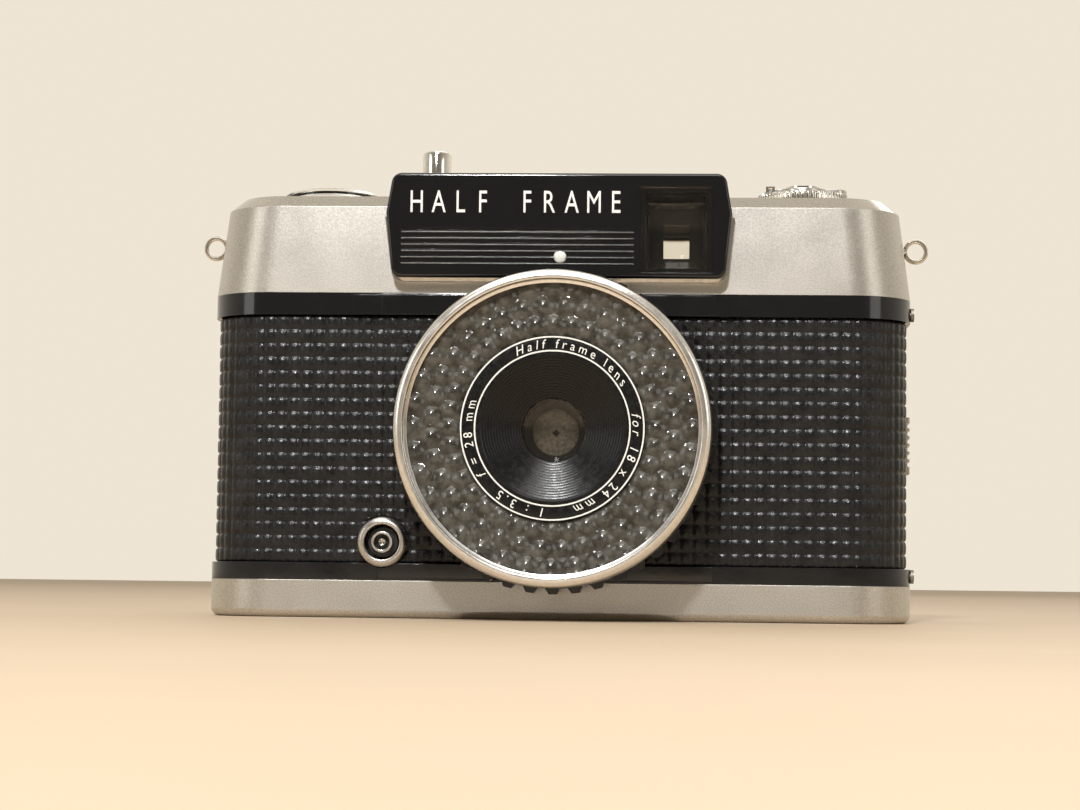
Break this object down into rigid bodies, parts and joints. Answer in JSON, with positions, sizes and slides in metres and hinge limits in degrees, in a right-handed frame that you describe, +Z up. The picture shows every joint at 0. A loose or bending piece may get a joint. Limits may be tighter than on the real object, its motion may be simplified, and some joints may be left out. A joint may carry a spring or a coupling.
{
  "type": "half frame camera",
  "caption": "Compact half frame film camera with a selenium cell round the lens, satin covers, black bezel, hinged back and working controls.",
  "frame": {"origin": "mouth of the tripod socket, at the middle of the body's width and depth, on the underside of the base", "axes": "+Z up, the lens looks along -Y, +X to the right when facing the lens"},
  "size_m": [0.1144, 0.0466, 0.0736],
  "materials": {
    "satin_cover": "satin bead-blasted silver",
    "black_casting": "gloss black enamel",
    "leatherette": "embossed charcoal vinyl",
    "bezel_black": "gloss black",
    "matte_black": "matt black",
    "index_white": "pale enamel",
    "name_black": "black with white lines",
    "chrome": "polished",
    "satin_steel": "satin",
    "dark_steel": "dark satin",
    "steel_parts": "turned steel",
    "brass_parts": "turned brass",
    "clear_glass": "coated glass",
    "clear_plastic": "clear moulded plastic",
    "selenium": "dark selenium",
    "spool_plastic": "black plastic",
    "dial": "black with white numbers"
  },
  "bodies": {
    "root": {"body_casting": "black_casting", "casting_spool_end": "black_casting", "casting_cartridge_end": "black_casting", "top_cover": "satin_cover", "base_plate": "satin_cover", "screws": "steel_parts", "tripod_bush": "brass_parts", "leatherette_left": "leatherette", "leatherette_right": "leatherette", "front_bezel": "bezel_black", "index_dot": "index_white", "finder_window": "clear_glass", "finder_tunnel": "matte_black", "finder_lenses": "clear_glass", "eyepiece_frame": "matte_black", "lens_mount": "matte_black", "lens_barrel": "matte_black", "front_ring": "chrome", "bubble_window": "clear_plastic", "selenium_cell": "selenium", "name_ring": "name_black", "lens_cell": "matte_black", "lens_element_front": "clear_glass", "lens_elements_inner": "clear_glass", "shutter_unit": "matte_black", "rear_cell": "matte_black", "sync_collar": "satin_steel", "sync_insulator": "matte_black", "sync_sleeve": "satin_steel", "sync_pin": "brass_parts", "strap_lug_left": "chrome", "strap_lug_right": "chrome", "hot_shoe": "chrome", "counter_window": "clear_plastic", "button_guide": "chrome", "meter_movement": "steel_parts", "catch_studs": "dark_steel", "hinge_pin": "steel_parts"},
    "setting_ring": {"setting_ring": "black_casting"},
    "aperture_left": {"aperture_left_blade": "dark_steel"},
    "aperture_right": {"aperture_right_blade": "dark_steel"},
    "shutter_left": {"shutter_left_blade": "dark_steel"},
    "shutter_right": {"shutter_right_blade": "dark_steel"},
    "shutter_button": {"shutter_button": "chrome"},
    "wind_wheel": {"wind_wheel": "satin_steel"},
    "take_up_spool": {"take_up_spool": "spool_plastic"},
    "sprocket": {"sprocket_drum": "spool_plastic"},
    "counter": {"counter_dial": "dial"},
    "rewind_sleeve": {"rewind_sleeve": "brass_parts"},
    "rewind_knob": {"rewind_knob": "chrome", "rewind_shaft": "steel_parts", "crank_pin": "steel_parts"},
    "rewind_crank": {"rewind_crank": "satin_steel"},
    "meter_needle": {"meter_needle": "steel_parts"},
    "back_door": {"back_door": "black_casting", "leatherette_back": "leatherette", "plate_rivets": "steel_parts"},
    "pressure_plate": {"pressure_plate": "dark_steel"},
    "door_latch": {"door_latch": "satin_steel"},
    "rewind_release": {"rewind_release": "steel_parts"}
  },
  "joints": [
    {"name": "setting_turn", "type": "hinge", "parent": "root", "child": "setting_ring", "pos_m": [0, -0.0197, 0.0281], "axis": [0, 1, 0], "range_deg": [0, 120]},
    {"name": "aperture_left_swing", "type": "hinge", "parent": "root", "child": "aperture_left", "pos_m": [-0.0012, -0.016, 0.0376], "axis": [0, 1, 0], "range_deg": [0, 32]},
    {"name": "aperture_right_swing", "type": "hinge", "parent": "root", "child": "aperture_right", "pos_m": [0.0012, -0.0158, 0.0376], "axis": [0, 1, 0], "range_deg": [-32, 0]},
    {"name": "button_press", "type": "slide", "parent": "root", "child": "shutter_button", "axis": [0, 0, -1], "range_m": [0, 0.002], "stiffness_N_per_m": 400, "springref_m": -0.001},
    {"name": "shutter_left_swing", "type": "hinge", "parent": "root", "child": "shutter_left", "pos_m": [-0.0012, -0.0151, 0.0376], "axis": [0, 1, 0], "range_deg": [0, 33]},
    {"name": "shutter_right_swing", "type": "hinge", "parent": "root", "child": "shutter_right", "pos_m": [0.0012, -0.0149, 0.0376], "axis": [0, 1, 0], "range_deg": [-33, 0]},
    {"name": "wind_turn", "type": "hinge", "parent": "root", "child": "wind_wheel", "pos_m": [-0.037, 0.0022, 0.053], "axis": [0, 0, 1], "continuous": true},
    {"name": "spool_turn", "type": "hinge", "parent": "root", "child": "take_up_spool", "pos_m": [-0.037, 0.0022, 0.028], "axis": [0, 0, 1], "continuous": true},
    {"name": "sprocket_turn", "type": "hinge", "parent": "root", "child": "sprocket", "pos_m": [-0.021, 0.004, 0.028], "axis": [0, 0, 1], "continuous": true},
    {"name": "counter_turn", "type": "hinge", "parent": "root", "child": "counter", "pos_m": [-0.037, 0.0022, 0.063], "axis": [0, 0, 1], "continuous": true},
    {"name": "rewind_lift", "type": "slide", "parent": "root", "child": "rewind_sleeve", "axis": [0, 0, 1], "range_m": [0, 0.006]},
    {"name": "rewind_turn", "type": "hinge", "parent": "rewind_sleeve", "child": "rewind_knob", "pos_m": [0.0376, 0.0006, 0.06], "axis": [0, 0, 1], "continuous": true},
    {"name": "crank_flip", "type": "hinge", "parent": "rewind_knob", "child": "rewind_crank", "pos_m": [0.0324, 0.0006, 0.0672], "axis": [0, -1, 0], "range_deg": [0, 170]},
    {"name": "needle_swing", "type": "hinge", "parent": "root", "child": "meter_needle", "pos_m": [-0.004, -0.003, 0.0585], "axis": [0, 0, 1], "range_deg": [-20, 25]},
    {"name": "door_swing", "type": "hinge", "parent": "root", "child": "back_door", "pos_m": [-0.046, 0.0124, 0.028], "axis": [0, 0, 1], "range_deg": [0, 110]},
    {"name": "latch_slide", "type": "slide", "parent": "back_door", "child": "door_latch", "axis": [0, 0, -1], "range_m": [0, 0.003], "stiffness_N_per_m": 200, "springref_m": -0.001},
    {"name": "plate_press", "type": "slide", "parent": "back_door", "child": "pressure_plate", "axis": [0, 1, 0], "range_m": [0, 0.0004], "stiffness_N_per_m": 1000, "springref_m": -0.001},
    {"name": "release_press", "type": "slide", "parent": "root", "child": "rewind_release", "axis": [0, 0, 1], "range_m": [0, 0.0015], "stiffness_N_per_m": 300, "springref_m": -0.001}
  ],
  "couplings": [
    {"joint": "aperture_left_swing", "follows": "setting_turn", "ratio": 0.25},
    {"joint": "aperture_right_swing", "follows": "setting_turn", "ratio": -0.25},
    {"joint": "shutter_left_swing", "follows": "button_press", "rad_per_m": 279},
    {"joint": "shutter_right_swing", "follows": "button_press", "rad_per_m": -279},
    {"joint": "spool_turn", "follows": "wind_turn", "ratio": 1},
    {"joint": "sprocket_turn", "follows": "wind_turn", "ratio": -1.3},
    {"joint": "counter_turn", "follows": "wind_turn", "ratio": 0.035}
  ]
}
